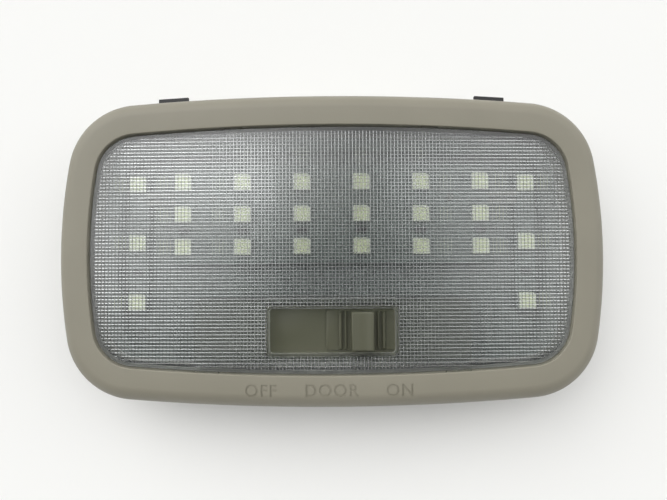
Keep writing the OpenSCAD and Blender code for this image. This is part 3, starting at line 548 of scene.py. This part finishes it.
# The window wall's gap over the knob's step, and how far it runs into the pane
WALL_GAP, WALL_JOIN = 0.3, 0.3
# What counts as a wall or a prism's flank: the upright part of its normal, and its place
WALL_NEAR, WALL_UPRIGHT = 0.02, 0.3
FLANK_UPRIGHT, FLANK_BELOW_EDGE = (0.6, 0.8), 0.5


def prism_field():
    """A slab whose upper face holds the prisms' print: it is cut out of the lens from behind."""
    nx = int(OPENING[0] / PRISM_PITCH) + 1
    ny = int(OPENING[1] / PRISM_PITCH) + 1
    rows = 2 * ny + 1
    grid = [[(i * PRISM_PITCH, j * PRISM_PITCH) for j in range(-ny, ny + 1)]
            for i in range(-nx, nx + 1)]
    verts = [(x, y, PANE_Z - crown(x)) for line in grid for x, y in line]
    faces = []
    half = PRISM_FLAT * PRISM_PITCH / 2
    for i in range(2 * nx):
        for j in range(2 * ny):
            at = i * rows + j
            ring = (at, at + rows, at + rows + 1, at + 1)
            mid_x, mid_y = [c + PRISM_PITCH / 2 for c in grid[i][j]]
            tip = len(verts)
            for sx, sy in CORNERS:
                x = mid_x + sx * half
                verts.append((x, mid_y + sy * half, PANE_Z - crown(x) - PRISM_H))
            faces += [(ring[k], ring[(k + 1) % 4], tip + (k + 1) % 4, tip + k) for k in range(4)]
            faces.append((tip, tip + 1, tip + 2, tip + 3))
    rim = [i * rows for i in range(2 * nx)] + [2 * nx * rows + j for j in range(2 * ny)]
    rim += [i * rows + 2 * ny for i in range(2 * nx, 0, -1)] + list(range(2 * ny, 0, -1))
    foot = len(verts)
    verts += [(verts[k][0], verts[k][1], DECK_Z - OVER) for k in rim]
    n = len(rim)
    faces += [(rim[k], foot + k, foot + (k + 1) % n, rim[(k + 1) % n]) for k in range(n)]
    faces.append([foot + k for k in range(n)])
    return mesh_object("prism_field", verts, faces)


def lens():
    """A crowned cover, hollowed from behind down to its prisms, with the walled window and tabs."""
    outer = inset(OPENING, LENS_GAP)
    rings = [flat_ring(outer, DECK_Z)]
    for i in range(LENS_EDGE_STEPS + 1):
        a = math.radians(90 * i / LENS_EDGE_STEPS)
        edge = inset(outer, LENS_EDGE_R * (1 - math.cos(a)))
        rings.append(lens_ring(edge, LENS_EDGE_R * (1 - math.sin(a))))
    body = stack_loft("lens_cover", rings)
    inner = inset(OPENING, LENS_GAP + LENS_SKIRT)
    hollow = stack_loft("hollow", [flat_ring(inner, z) for z in (DECK_Z - HOLLOW_OVER, LENS_Z)])
    hollow = combine(hollow, prism_field(), "INTERSECT")
    body = combine(body, hollow, "DIFFERENCE")

    at = (0, SWITCH_Y)
    wide = rounded_outline(WINDOW_W + 2 * WINDOW_T, WINDOW_H + 2 * WINDOW_T, WINDOW_R + WINDOW_T)
    wall = prism("wall", wide, STEP_TOP + WALL_GAP, PANE_Z + WALL_JOIN, at)
    body = combine(body, wall, "UNION")
    gap = prism("gap", rounded_outline(WINDOW_W, WINDOW_H, WINDOW_R), DECK_Z, LENS_Z + OVER, at)
    body = combine(body, gap, "DIFFERENCE")

    for place, width, x in tab_places(outer):
        foot = tab_z(x)
        tip = (width / 2, LENS_GAP + TAB_REACH, foot + TAB_T)
        tab = block("tab", (-width / 2, -LENS_SKIRT / 2, foot), tip)
        body = combine(body, placed(tab, place), "UNION")
    tidy(body.data, LENS_SHARP)
    finish(body, CLEAR, "lamp", "lens_clear", "lens")
    frost(body.data)


def frost(me):
    """Gives the window's walls a frosted finish, and the prisms' flanks a satin one."""
    me.materials.append(FROSTED)
    me.materials.append(SATIN)
    reach_x = WINDOW_W / 2 + WINDOW_T + WALL_NEAR
    reach_y = WINDOW_H / 2 + WINDOW_T + WALL_NEAR
    low, high = FLANK_UPRIGHT
    for p in me.polygons:
        c = p.center / MM
        upright = abs(p.normal.z)
        in_window = abs(c.x) < reach_x and abs(c.y - SWITCH_Y) < reach_y
        below_edge = c.z < LENS_Z - crown(c.x) - LENS_EDGE_R - FLANK_BELOW_EDGE
        if in_window and upright < WALL_UPRIGHT:
            p.material_index = 1
        elif below_edge and low < upright < high:
            p.material_index = 2


# Light boards
LED_COUNT = 24
# LED package: its marked corner, lift over the board, bevel and light well
LED_CORNER, LED_LIFT, LED_BEVEL = 0.8, 0.15, 0.12
WELL_SHARE, WELL_DEPTH = 0.4, 0.35
PHOSPHOR_GAP, PHOSPHOR_LOW, PHOSPHOR_HIGH = 0.02, 0.4, 0.12
# Its terminals: places along Y, half their width, their ends along X and their height's share
PIN_YS, PIN_HALF_W = (-1.6, 0, 1.6), 0.45
PIN_X0, PIN_X1, PIN_SHARE = 0.25, 0.12, 0.55


def led_mesh(size, height):
    """One LED package: a bevelled body with a marked corner, a round phosphor and six terminals."""
    half = size / 2
    cut = half - LED_CORNER
    body = prism("led", [(-half, -half), (half, -half), (half, cut), (cut, half), (-half, half)],
                 LED_LIFT, height)
    well_r = size * WELL_SHARE
    body = combine(body, disc("well", well_r, height - WELL_DEPTH, height + OVER), "DIFFERENCE")
    body = bevel(body, LED_BEVEL, 2)
    phosphor = disc("phosphor", well_r - PHOSPHOR_GAP,
                    height - PHOSPHOR_LOW, height - PHOSPHOR_HIGH)
    parts = [(body, LED_BODY), (phosphor, PHOSPHOR)]
    for x in (-half, half):
        for y in PIN_YS:
            pin = block("terminal", (x - PIN_X0, y - PIN_HALF_W, 0),
                        (x + PIN_X1, y + PIN_HALF_W, height * PIN_SHARE))
            parts.append((pin, TIN))
    return fused("led", parts)


def fused(name, parts):
    """One mesh from several objects, each with its own material. The objects are used up."""
    bm = bmesh.new()
    mats = []
    for obj, mat in parts:
        if mat not in mats:
            mats.append(mat)
        first = len(bm.faces)
        bm.from_mesh(obj.data)
        bm.faces.ensure_lookup_table()
        for face in bm.faces[first:]:
            face.material_index = mats.index(mat)
        drop(obj)
    me = bpy.data.meshes.new(name)
    bm.to_mesh(me)
    bm.free()
    for mat in mats:
        me.materials.append(mat)
    me.set_sharp_from_angle(angle=math.radians(SHARP))
    return me


def leds():
    lo, hi = span("led_01")
    me = led_mesh(hi.x - lo.x, hi.z - lo.z)
    for i in range(1, LED_COUNT + 1):
        node = f"led_{i:02d}"
        lo, hi = span(node)
        obj = put("led_package_" + node[-2:], me)
        obj.location = Vector(((lo.x + hi.x) / 2, (lo.y + hi.y) / 2, lo.z)) * MM
        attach(obj, "lamp")
        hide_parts(node)


# Switch
BAR_STEPS, DISH_STEPS = 6, 8
# How far a bar reaches into the step, and how its ends fall: distance from the end, and drop
BAR_SINK = 0.2
BAR_END = ((0, 0.35), (0.12, 0.12), (0.35, 0))
RIB_R, GRIP_R, GRIP_DISH = 0.3, 0.5, 0.45
# The inner ribs' share of a rib's width and height, and their rounding
INNER_W, INNER_H, INNER_R = 0.7, 0.6, 0.2
# The step is a margin longer than the bars and starts sunk in the plate. The pegs stand below
PLATE_BEVEL, STEP_BEVEL, STEP_MARGIN, STEP_R, STEP_SINK = 0.15, 0.2, 0.8, 0.7, 0.5
PEG_Y, PEG_R, PEG_STEPS = 1.5, 0.6, 20
# Covers: distance from the window, margin inside the frame, gap, thickness, rounding and bevel
COVER_OUT, COVER_MARGIN, COVER_GAP = 1.3, 0.4, 0.02
COVER_T, COVER_R, COVER_BEVEL = 0.22, 0.8, 0.06


def soft_bar(name, x, w, h, dish, r):
    """A bar across the knob with rounded top edges and ends, and a dished top."""
    half = w / 2
    side = quarter_turn(half - r, h - r, r, 0, BAR_STEPS)
    shares = [1 - 2 * i / DISH_STEPS for i in range(1, DISH_STEPS)]
    top = [((half - r) * t, h - dish * (1 - t ** 2)) for t in shares]
    section = [(half, -BAR_SINK)] + side + top
    section += [(-px, pz) for px, pz in reversed(side)] + [(-half, -BAR_SINK)]
    end = KNOB_H / 2
    slices = [(-end + d, fall) for d, fall in BAR_END]
    slices += [(end - d, fall) for d, fall in reversed(BAR_END)]
    n = len(section)
    verts = [(REST_X + x + px, SWITCH_Y + y, STEP_TOP + (pz - fall if pz > 0 else pz))
             for y, fall in slices for px, pz in section]
    faces = side_faces(n, len(slices))
    faces += [tuple(range(n)), tuple(range((len(slices) - 1) * n, len(slices) * n))]
    return mesh_object(name, verts, faces)


def slider():
    """The slider's plate with its step, ribs and grip bar, in one moulding."""
    plate = block("switch_knob", (SLIDER_LO.x, SLIDER_LO.y, PLATE_TOP - PLATE_T),
                  (SLIDER_HI.x, SLIDER_HI.y, PLATE_TOP))
    body = bevel(plate, PLATE_BEVEL, 2)
    step = prism("step", rounded_outline(STEP_W, KNOB_H + STEP_MARGIN, STEP_R),
                 PLATE_TOP - STEP_SINK, STEP_TOP, (REST_X, SWITCH_Y))
    body = combine(body, bevel(step, STEP_BEVEL, 3), "UNION")
    for x in (-RIB_X, RIB_X):
        body = combine(body, soft_bar("rib", x, RIB_W, RIB_H, 0, RIB_R), "UNION")
    inner_x = (RIB_X + GRIP_W / 2) / 2
    for x in (-inner_x, inner_x):
        rib = soft_bar("rib", x, RIB_W * INNER_W, RIB_H * INNER_H, 0, INNER_R)
        body = combine(body, rib, "UNION")
    grip = soft_bar("grip", 0, GRIP_W, SLIDER_HI.z - STEP_TOP, GRIP_DISH, GRIP_R)
    body = combine(body, grip, "UNION")
    for y in (-PEG_Y, PEG_Y):
        peg = disc("peg", PEG_R, SLIDER_LO.z, PLATE_TOP - STEP_SINK, PEG_STEPS)
        place = Matrix.Translation(Vector((REST_X, SWITCH_Y + y, 0)) * MM)
        body = combine(body, placed(peg, place), "UNION")
    tidy(body.data, SHELL_SHARP)
    # the knob is beige plastic like the bezel; its darker colour is painted shade
    finish(body, SHADED_KNOB, "slider", "bezel_beige", "switch_slider")


def frame_covers():
    """Thin dark covers over the slide's channel, left and right of the window: painted shade that
    hides the lit channel round the knob.
    """
    reach = WINDOW_W / 2 + COVER_OUT
    low = STEP_TOP + COVER_GAP
    h = FRAME_HI.y - FRAME_LO.y - 2 * COVER_MARGIN
    mid_y = (FRAME_LO.y + FRAME_HI.y) / 2
    ends = (("frame_cover_left", FRAME_LO.x + COVER_MARGIN, -reach),
            ("frame_cover_right", reach, FRAME_HI.x - COVER_MARGIN))
    for name, x0, x1 in ends:
        plate = rounded_outline(x1 - x0, h, COVER_R)
        obj = prism(name, plate, low, low + COVER_T, ((x0 + x1) / 2, mid_y))
        finish(bevel(obj, COVER_BEVEL, 2), SHADED_HOUSING, "lamp", "bezel_beige")


# Stage, lights and camera. Lengths are in metres, apart from the camera's place and sensor
FOCAL_PX, IMAGE_W, SENSOR_W = 520, 667, 36
CLIP_NEAR, CLIP_FAR = 0.01, 20
CAMERA_X, CAMERA_Y, CAMERA_RISE = 0.45, -6.6, 160.1
CAMERA_TILT, CAMERA_ROLL = 0.0414, -0.0057
# Lean and azimuth of each soft box, its edge and core half-angles, and its strength.
# The last one is the pale horizon.
SOFT_BOXES = ((46, 142, 44, 14, 2.3), (46, 27, 41, 14, 1.4), (40, 98, 37, 12, 0.9),
              (180, 0, 128, 86, 0.7))
ROOM_LIGHT = 0.15
KEY_AT, KEY_SIZE, KEY_POWER = (-0.5, 0.45, 0.9), 0.5, 0.1
FLOOR_REACH = 3


def camera():
    data = bpy.data.cameras.new("camera")
    data.sensor_width = SENSOR_W
    data.lens = SENSOR_W * FOCAL_PX / IMAGE_W
    data.clip_start = CLIP_NEAR
    data.clip_end = CLIP_FAR
    obj = put("camera", data)
    turn = Matrix.Rotation(CAMERA_TILT, 4, "X") @ Matrix.Rotation(CAMERA_ROLL, 4, "Z")
    place = Vector((CAMERA_X, CAMERA_Y, SEAT_Z + CAMERA_RISE)) * MM
    obj.matrix_world = Matrix.Translation(place) @ turn
    bpy.context.scene.camera = obj


def key_light():
    """A weak square light, left of and above the camera, that shows in no reflection."""
    data = bpy.data.lights.new("key", "AREA")
    data.shape = "RECTANGLE"
    data.size = data.size_y = KEY_SIZE
    data.energy = KEY_POWER
    obj = put("key", data)
    obj.location = KEY_AT
    obj.rotation_euler = (-Vector(KEY_AT)).to_track_quat("-Z", "Y").to_euler()
    obj.visible_glossy = obj.visible_transmission = False


def way(lean, azimuth):
    """The direction that leans from straight up towards an azimuth, both in degrees."""
    a, b = math.radians(lean), math.radians(azimuth)
    return Vector((math.sin(a) * math.cos(b), math.sin(a) * math.sin(b), math.cos(a)))


def world():
    """A dim room with three broad soft boxes above the lamp and a pale horizon."""
    w = bpy.data.worlds.new("studio")
    w.use_nodes = True
    tree = w.node_tree
    coord = tree.nodes.new("ShaderNodeTexCoord")
    total = None
    for lean, azimuth, edge, core, strength in SOFT_BOXES:
        dot = tree.nodes.new("ShaderNodeVectorMath")
        dot.operation = "DOT_PRODUCT"
        dot.inputs[1].default_value = way(lean, azimuth)
        ramp = tree.nodes.new("ShaderNodeMapRange")
        ramp.interpolation_type = "SMOOTHSTEP"
        ramp.inputs["From Min"].default_value = math.cos(math.radians(edge))
        ramp.inputs["From Max"].default_value = math.cos(math.radians(core))
        ramp.inputs["To Min"].default_value = 0
        ramp.inputs["To Max"].default_value = strength
        tree.links.new(coord.outputs["Generated"], dot.inputs[0])
        tree.links.new(dot.outputs["Value"], ramp.inputs["Value"])
        plus = tree.nodes.new("ShaderNodeMath")
        plus.operation = "ADD"
        plus.inputs[0].default_value = ROOM_LIGHT
        if total:
            tree.links.new(total, plus.inputs[0])
        tree.links.new(ramp.outputs["Result"], plus.inputs[1])
        total = plus.outputs["Value"]
    tree.links.new(total, tree.nodes["Background"].inputs["Strength"])
    tree.nodes["Background"].inputs["Color"].default_value = (1, 1, 1, 1)
    bpy.context.scene.world = w


def floor():
    me = bpy.data.meshes.new("floor")
    corners = [(sx * FLOOR_REACH, sy * FLOOR_REACH, 0) for sx, sy in CORNERS]
    me.from_pydata(corners, [], [(0, 1, 2, 3)])
    obj = put("floor", me)
    paint(obj, material("floor_paper", (0.9, 0.9, 0.88), 0.9))


camera()
world()
key_light()
floor()

for node_name, mat in NODE_FINISH.items():
    paint(frame["nodes"][node_name], mat)

bezel()
lens()
leds()
slider()
frame_covers()

bpy.context.scene.view_settings.view_transform = "Standard"
